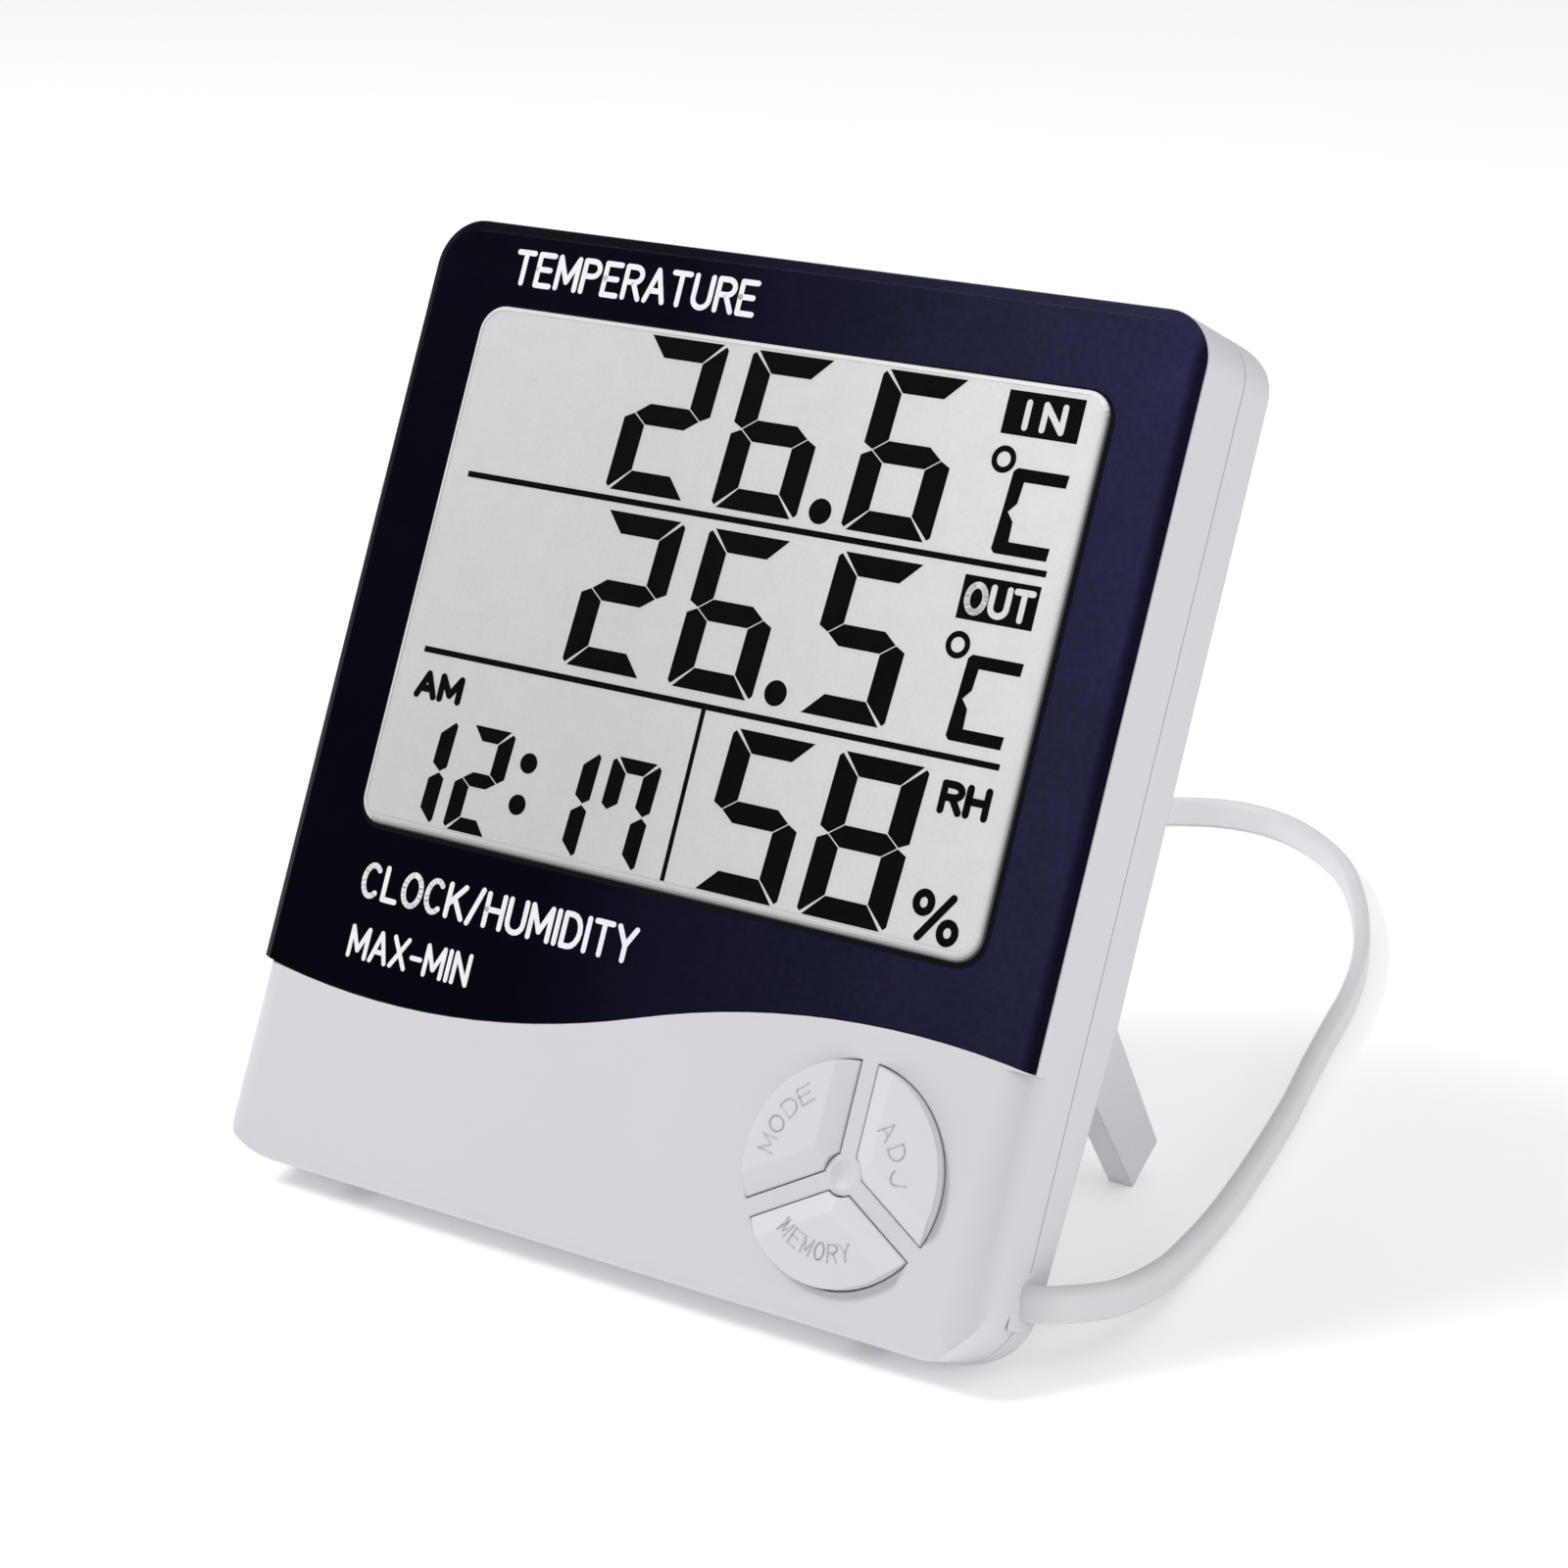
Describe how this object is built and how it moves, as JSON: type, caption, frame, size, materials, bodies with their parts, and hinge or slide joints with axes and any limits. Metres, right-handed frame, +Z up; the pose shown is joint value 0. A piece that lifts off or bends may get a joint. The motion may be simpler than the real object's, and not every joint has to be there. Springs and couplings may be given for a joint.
{
  "type": "maximum minimum thermometer",
  "caption": "Desk thermometer and hygrometer with a large display, ring of press keys, fold-out stand, rear battery bay and an outdoor probe on a flat lead.",
  "frame": {"origin": "on the desk, under the middle of the standing case and open stand", "axes": "+Z up, +X to the right as seen from the front, front face towards -Y"},
  "size_m": [0.1538, 0.1718, 0.1013],
  "materials": {
    "white_case": "satin moulded ABS",
    "dark_panel": "glossy dark blue printed panel",
    "clear_lens": "clear moulded window",
    "lcd_glass": "display glass",
    "reflector": "satin reflector film",
    "white_inner": "plain moulding",
    "elastomer": "striped elastomer",
    "board": "solder mask",
    "black_resin": "matte",
    "bright_metal": "nickel plated",
    "sensor_case": "vented sensor housing",
    "resin_bead": "dipped resin",
    "key_rubber": "silicone",
    "white_key": "satin moulded",
    "cell_jacket": "foil jacket",
    "lead_jacket": "matte flexible PVC",
    "tie_strap": "nylon strap",
    "probe_plastic": "moulded sleeve",
    "probe_metal": "polished capsule"
  },
  "bodies": {
    "case": {"front_shell": "white_case", "rear_shell": "white_case", "front_panel": "dark_panel", "window_lens": "clear_lens", "lcd_front_glass": "lcd_glass", "lcd_rear_glass": "lcd_glass", "lcd_reflector": "reflector", "lcd_frame": "white_inner", "zebra_strip": "elastomer", "main_board": "board", "chip_blob": "black_resin", "crystal_can": "bright_metal", "buzzer": "black_resin", "humidity_sensor": "sensor_case", "room_thermistor": "resin_bead", "key_board": "board", "keypad_mat": "key_rubber", "rear_switches": "black_resin", "battery": "cell_jacket", "contact_plate": "bright_metal", "contact_spring": "bright_metal", "case_screws": "bright_metal", "hinge_pins": "bright_metal", "cord_clamp": "white_inner", "cord_grommet": "lead_jacket", "sensor_cord": "lead_jacket", "cord_coil": "lead_jacket", "coil_tie": "tie_strap", "cord_tail": "lead_jacket", "probe_sleeve": "probe_plastic", "probe_tip": "probe_metal"},
    "mode_key": {"mode_button": "white_key"},
    "adj_key": {"adj_button": "white_key"},
    "memory_key": {"memory_button": "white_key"},
    "unit_key": {"unit_button": "white_key"},
    "reset_key": {"reset_button": "white_key"},
    "door": {"battery_door": "white_case"},
    "stand": {"stand": "white_case"}
  },
  "joints": [
    {"name": "mode_key_press", "type": "slide", "parent": "case", "child": "mode_key", "axis": [0, 0.91, -0.4147], "range_m": [0, 0.0006], "stiffness_N_per_m": 500, "springref_m": -0.0008},
    {"name": "adj_key_press", "type": "slide", "parent": "case", "child": "adj_key", "axis": [0, 0.91, -0.4147], "range_m": [0, 0.0006], "stiffness_N_per_m": 500, "springref_m": -0.0008},
    {"name": "memory_key_press", "type": "slide", "parent": "case", "child": "memory_key", "axis": [0, 0.91, -0.4147], "range_m": [0, 0.0006], "stiffness_N_per_m": 500, "springref_m": -0.0008},
    {"name": "unit_key_press", "type": "slide", "parent": "case", "child": "unit_key", "axis": [0, -0.91, 0.4147], "range_m": [0, 0.0006], "stiffness_N_per_m": 500, "springref_m": -0.0008},
    {"name": "reset_key_press", "type": "slide", "parent": "case", "child": "reset_key", "axis": [0, -0.91, 0.4147], "range_m": [0, 0.0006], "stiffness_N_per_m": 500, "springref_m": -0.0008},
    {"name": "door_slide", "type": "slide", "parent": "case", "child": "door", "axis": [0, -0.4147, -0.91], "range_m": [0, 0.012]},
    {"name": "stand_hinge", "type": "hinge", "parent": "case", "child": "stand", "pos_m": [0, 0.00231, 0.04655], "axis": [1, 0, 0], "range_deg": [-58.65, 0]}
  ]
}
